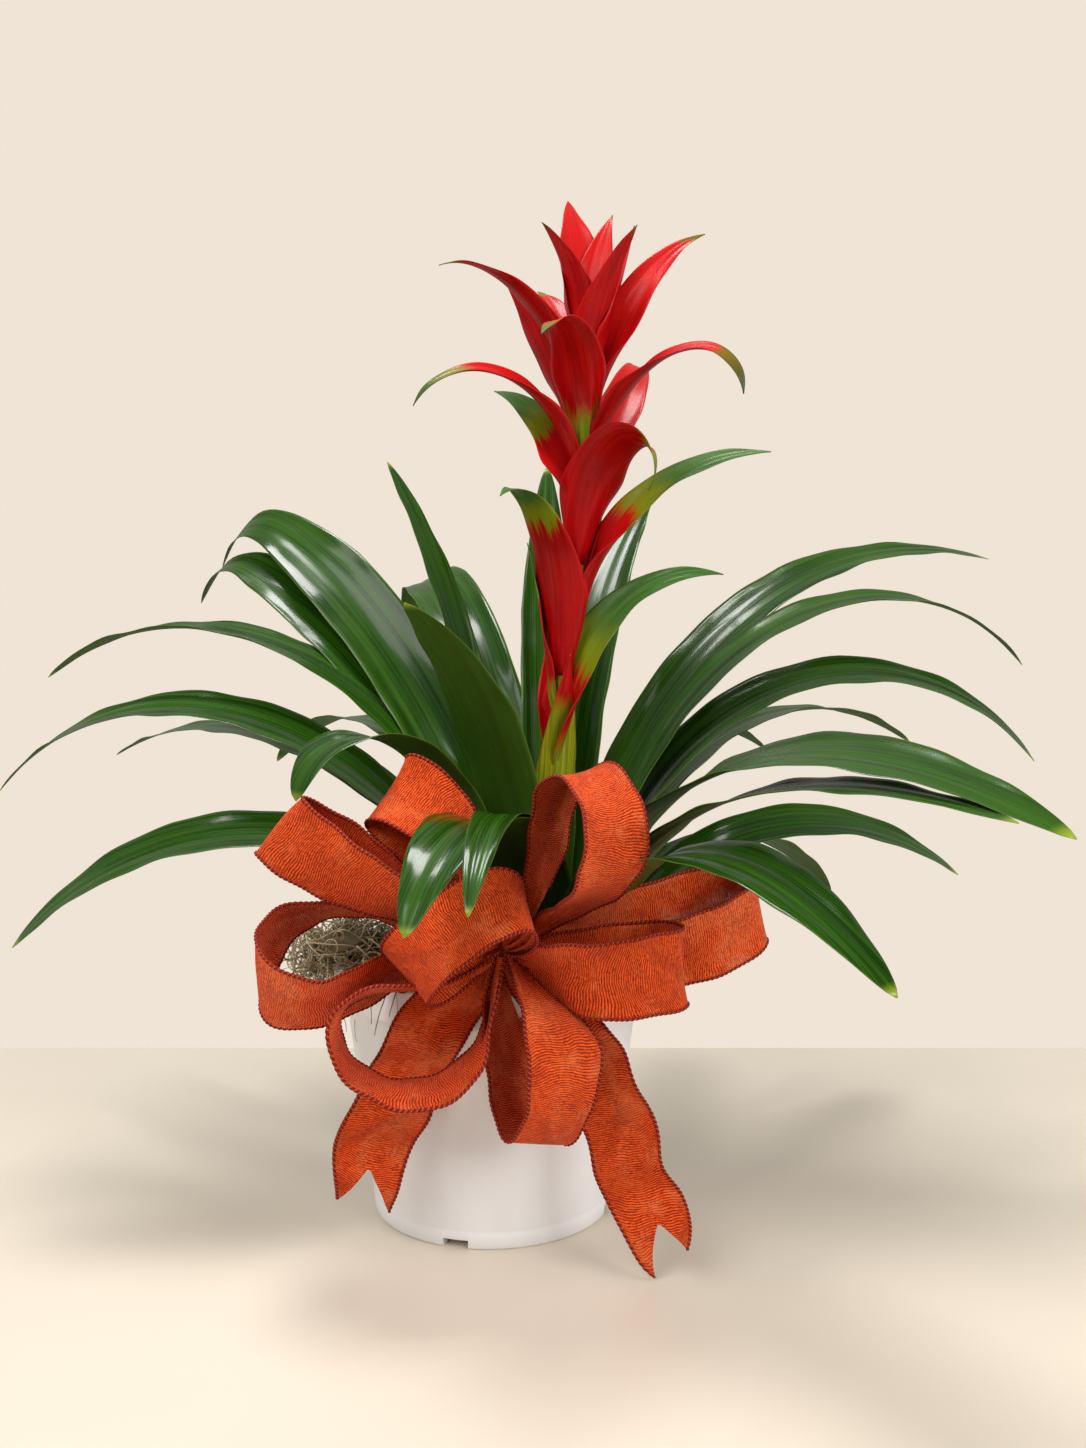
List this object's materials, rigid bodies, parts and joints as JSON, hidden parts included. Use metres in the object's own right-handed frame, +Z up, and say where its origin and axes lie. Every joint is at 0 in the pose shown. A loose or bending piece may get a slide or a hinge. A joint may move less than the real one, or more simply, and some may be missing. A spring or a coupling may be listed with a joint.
{
  "type": "potted bromeliad",
  "caption": "Potted bromeliad: a rosette of arching strap leaves and a tall bract spike in a tapered nursery pot, with moss and a looped ribbon bow.",
  "frame": {"origin": "centre of the pot's base, on the surface it stands on", "axes": "+Z up, -Y towards the front with the bow, +X to the right seen from the front"},
  "size_m": [0.5749, 0.5123, 0.5328],
  "materials": {
    "pot_plastic": "white moulded plastic with a soft sheen",
    "growing_mix": "dark crumbly bark and peat mix",
    "moss": "dry grey-olive curled moss strands",
    "bract": "waxy red bracts that turn yellow-green at some tips and feet",
    "leaf": "glossy dark green leaf with lengthwise veins",
    "ribbon": "burnt-orange woven ribbon with dark stitched wired edges",
    "wire": "thin annealed florist wire"
  },
  "bodies": {
    "root": {"pot": "pot_plastic", "growing_mix": "growing_mix", "spanish_moss": "moss", "flower_spike": "bract", "leaf_inner_back": "leaf", "leaf_back_upright": "leaf", "leaf_inner_left": "leaf", "leaf_front_tall": "leaf", "leaf_right_top": "leaf", "leaf_left_back": "leaf", "leaf_left_high": "leaf", "leaf_right_high": "leaf", "leaf_front_small": "leaf", "leaf_left_second": "leaf", "leaf_left_long": "leaf", "leaf_right_middle": "leaf", "leaf_front_folded": "leaf", "leaf_back_right": "leaf", "leaf_back_middle": "leaf", "leaf_right_broad": "leaf", "leaf_left_folded": "leaf", "leaf_back_left": "leaf", "leaf_right_thin": "leaf", "leaf_left_arched": "leaf", "leaf_right_narrow": "leaf", "leaf_back_low": "leaf", "leaf_left_behind": "leaf", "leaf_right_low": "leaf", "leaf_back_lowest": "leaf", "leaf_front_right": "leaf", "leaf_left_low": "leaf", "leaf_right_lowest": "leaf", "bow_loop_upper_left": "ribbon", "bow_loop_top_left": "ribbon", "bow_loop_left": "ribbon", "bow_loop_lower_left": "ribbon", "bow_loop_bottom": "ribbon", "bow_loop_right": "ribbon", "bow_loop_right_back": "ribbon", "bow_loop_top_right": "ribbon", "bow_loop_front": "ribbon", "bow_tail_left": "ribbon", "bow_tail_right": "ribbon", "bow_pinch": "ribbon", "bow_wire": "wire"}
  },
  "joints": []
}
